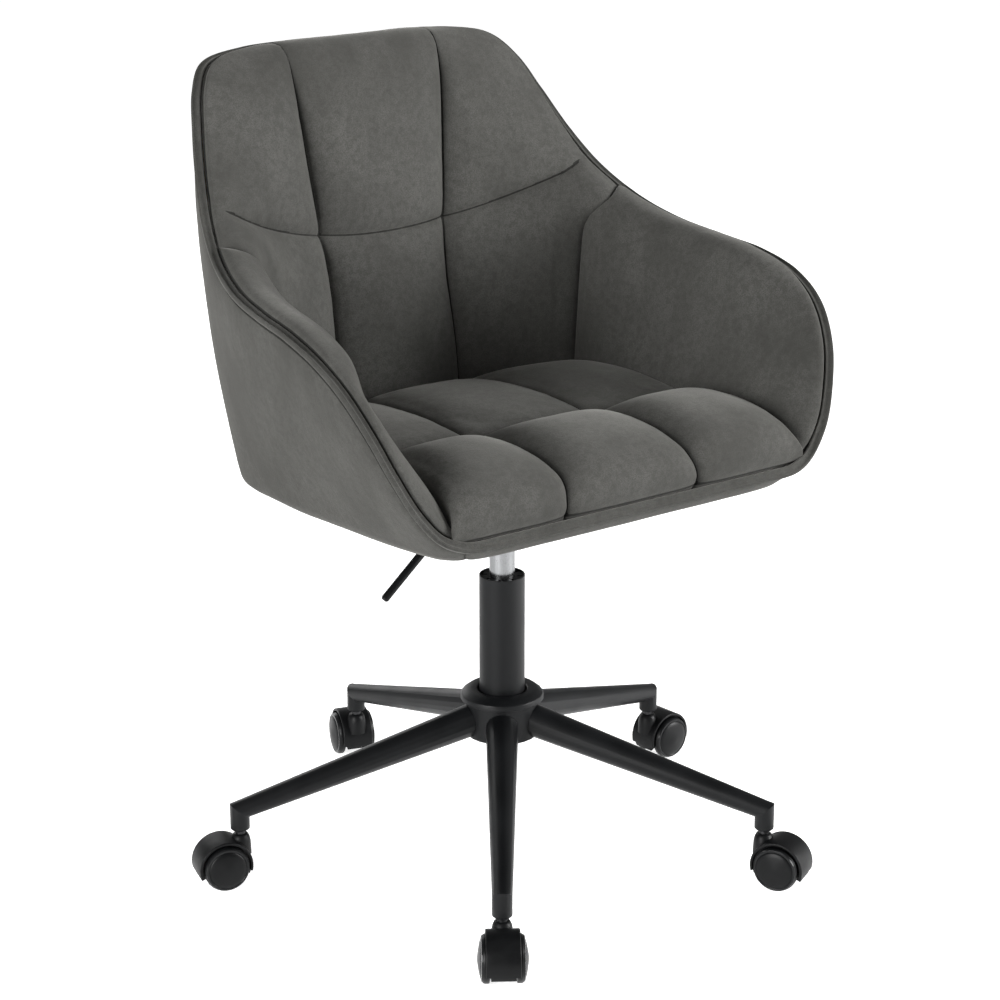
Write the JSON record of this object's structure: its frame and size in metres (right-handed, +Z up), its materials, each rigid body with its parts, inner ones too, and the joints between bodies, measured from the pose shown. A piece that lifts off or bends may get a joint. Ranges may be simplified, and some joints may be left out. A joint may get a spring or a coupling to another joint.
{
  "type": "swivel office chair",
  "caption": "Upholstered bucket office chair that swivels and rises on a gas lift with a lever under the seat, on a star base with twin-wheel casters.",
  "frame": {"origin": "middle of the footprint, on the floor; the lift column stands 28 mm in front of it", "axes": "+Z up, the seat faces -Y, +X is the sitter's left"},
  "size_m": [0.6706, 0.6469, 0.8709],
  "materials": {
    "velvet_pads": "matte",
    "velvet_shell": "matte",
    "velvet_piping": "matte",
    "black_painted_steel": "satin",
    "black_plastic": "satin",
    "wheel_plastic": "gloss",
    "chrome": "polished",
    "steel": "satin",
    "plywood": "matte",
    "rubber": "matte",
    "dust_cloth": "matte"
  },
  "bodies": {
    "base": {"base_hub": "black_painted_steel", "column_tube": "black_painted_steel", "guide_bush": "black_plastic", "thrust_bearing": "steel", "retaining_clip": "steel", "leg_1": "black_painted_steel", "leg_2": "black_painted_steel", "leg_3": "black_painted_steel", "leg_4": "black_painted_steel", "leg_5": "black_painted_steel"},
    "lift_rod": {"piston_rod": "chrome", "piston": "black_plastic", "bump_stop": "rubber"},
    "seat": {"gas_cylinder": "chrome", "mount_plate": "black_painted_steel", "seat_bolt_1": "steel", "seat_bolt_2": "steel", "seat_bolt_3": "steel", "seat_bolt_4": "steel", "lever_pivot_pin": "steel", "seat_board": "plywood", "dust_cover": "dust_cloth", "shell_frame": "plywood", "cover_front": "velvet_shell", "cover_left_side": "velvet_shell", "cover_back": "velvet_shell", "cover_right_side": "velvet_shell", "back_pad": "velvet_pads", "arm_pad_left": "velvet_pads", "arm_pad_right": "velvet_pads", "seat_cushion": "velvet_pads", "rim_welt": "velvet_piping"},
    "lever": {"lever_rod": "steel", "lever_grip": "black_plastic"},
    "release_pin": {"release_pin": "steel"},
    "caster_1": {"caster_1_housing": "black_plastic", "caster_1_stem": "steel", "caster_1_axle": "steel"},
    "caster_1_left_wheel": {"caster_1_wheel_left": "wheel_plastic"},
    "caster_1_right_wheel": {"caster_1_wheel_right": "wheel_plastic"},
    "caster_2": {"caster_2_housing": "black_plastic", "caster_2_stem": "steel", "caster_2_axle": "steel"},
    "caster_2_left_wheel": {"caster_2_wheel_left": "wheel_plastic"},
    "caster_2_right_wheel": {"caster_2_wheel_right": "wheel_plastic"},
    "caster_3": {"caster_3_housing": "black_plastic", "caster_3_stem": "steel", "caster_3_axle": "steel"},
    "caster_3_left_wheel": {"caster_3_wheel_left": "wheel_plastic"},
    "caster_3_right_wheel": {"caster_3_wheel_right": "wheel_plastic"},
    "caster_4": {"caster_4_housing": "black_plastic", "caster_4_stem": "steel", "caster_4_axle": "steel"},
    "caster_4_left_wheel": {"caster_4_wheel_left": "wheel_plastic"},
    "caster_4_right_wheel": {"caster_4_wheel_right": "wheel_plastic"},
    "caster_5": {"caster_5_housing": "black_plastic", "caster_5_stem": "steel", "caster_5_axle": "steel"},
    "caster_5_left_wheel": {"caster_5_wheel_left": "wheel_plastic"},
    "caster_5_right_wheel": {"caster_5_wheel_right": "wheel_plastic"}
  },
  "joints": [
    {"name": "seat_swivel", "type": "hinge", "parent": "base", "child": "lift_rod", "pos_m": [0, -0.028, 0.14], "axis": [0, 0, 1], "continuous": true},
    {"name": "height_slide", "type": "slide", "parent": "lift_rod", "child": "seat", "axis": [0, 0, 1], "range_m": [-0.03, 0.07]},
    {"name": "lever_lift", "type": "hinge", "parent": "seat", "child": "lever", "pos_m": [-0.026, -0.028, 0.4], "axis": [0, 1, 0], "range_deg": [0, 6.5], "stiffness_Nm_per_rad": 0.6},
    {"name": "release_press", "type": "slide", "parent": "seat", "child": "release_pin", "axis": [0, 0, -1], "range_m": [0, 0.0036]},
    {"name": "caster_1_swivel", "type": "hinge", "parent": "base", "child": "caster_1", "pos_m": [-0.17833, -0.26551, 0.07], "axis": [0, 0, 1], "continuous": true},
    {"name": "caster_1_left_spin", "type": "hinge", "parent": "caster_1", "child": "caster_1_left_wheel", "pos_m": [-0.19034, -0.28273, 0.02469], "axis": [0.8202, -0.5721, 0], "continuous": true},
    {"name": "caster_1_right_spin", "type": "hinge", "parent": "caster_1", "child": "caster_1_right_wheel", "pos_m": [-0.19034, -0.28273, 0.02469], "axis": [0.8202, -0.5721, 0], "continuous": true},
    {"name": "caster_2_swivel", "type": "hinge", "parent": "base", "child": "caster_2", "pos_m": [0.17078, -0.27099, 0.07], "axis": [0, 0, 1], "continuous": true},
    {"name": "caster_2_left_spin", "type": "hinge", "parent": "caster_2", "child": "caster_2_left_wheel", "pos_m": [0.18034, -0.28969, 0.02469], "axis": [0.8902, 0.4555, 0], "continuous": true},
    {"name": "caster_2_right_spin", "type": "hinge", "parent": "caster_2", "child": "caster_2_right_wheel", "pos_m": [0.18034, -0.28969, 0.02469], "axis": [0.8902, 0.4555, 0], "continuous": true},
    {"name": "caster_3_swivel", "type": "hinge", "parent": "base", "child": "caster_3", "pos_m": [0.28387, 0.05933, 0.07], "axis": [0, 0, 1], "continuous": true},
    {"name": "caster_3_left_spin", "type": "hinge", "parent": "caster_3", "child": "caster_3_left_wheel", "pos_m": [0.30479, 0.0612, 0.02469], "axis": [-0.0889, 0.996, 0], "continuous": true},
    {"name": "caster_3_right_spin", "type": "hinge", "parent": "caster_3", "child": "caster_3_right_wheel", "pos_m": [0.30479, 0.0612, 0.02469], "axis": [-0.0889, 0.996, 0], "continuous": true},
    {"name": "caster_4_swivel", "type": "hinge", "parent": "base", "child": "caster_4", "pos_m": [0.00466, 0.26896, 0.07], "axis": [0, 0, 1], "continuous": true},
    {"name": "caster_4_left_spin", "type": "hinge", "parent": "caster_4", "child": "caster_4_left_wheel", "pos_m": [0.01112, 0.28895, 0.02469], "axis": [-0.9516, 0.3074, 0], "continuous": true},
    {"name": "caster_4_right_spin", "type": "hinge", "parent": "caster_4", "child": "caster_4_right_wheel", "pos_m": [0.01112, 0.28895, 0.02469], "axis": [-0.9516, 0.3074, 0], "continuous": true},
    {"name": "caster_5_swivel", "type": "hinge", "parent": "base", "child": "caster_5", "pos_m": [-0.28099, 0.0682, 0.07], "axis": [0, 0, 1], "continuous": true},
    {"name": "caster_5_left_spin", "type": "hinge", "parent": "caster_5", "child": "caster_5_left_wheel", "pos_m": [-0.30128, 0.0736, 0.02469], "axis": [-0.2571, -0.9664, 0], "continuous": true},
    {"name": "caster_5_right_spin", "type": "hinge", "parent": "caster_5", "child": "caster_5_right_wheel", "pos_m": [-0.30128, 0.0736, 0.02469], "axis": [-0.2571, -0.9664, 0], "continuous": true}
  ],
  "couplings": [
    {"joint": "release_press", "follows": "lever_lift", "m_per_rad": 0.03}
  ]
}
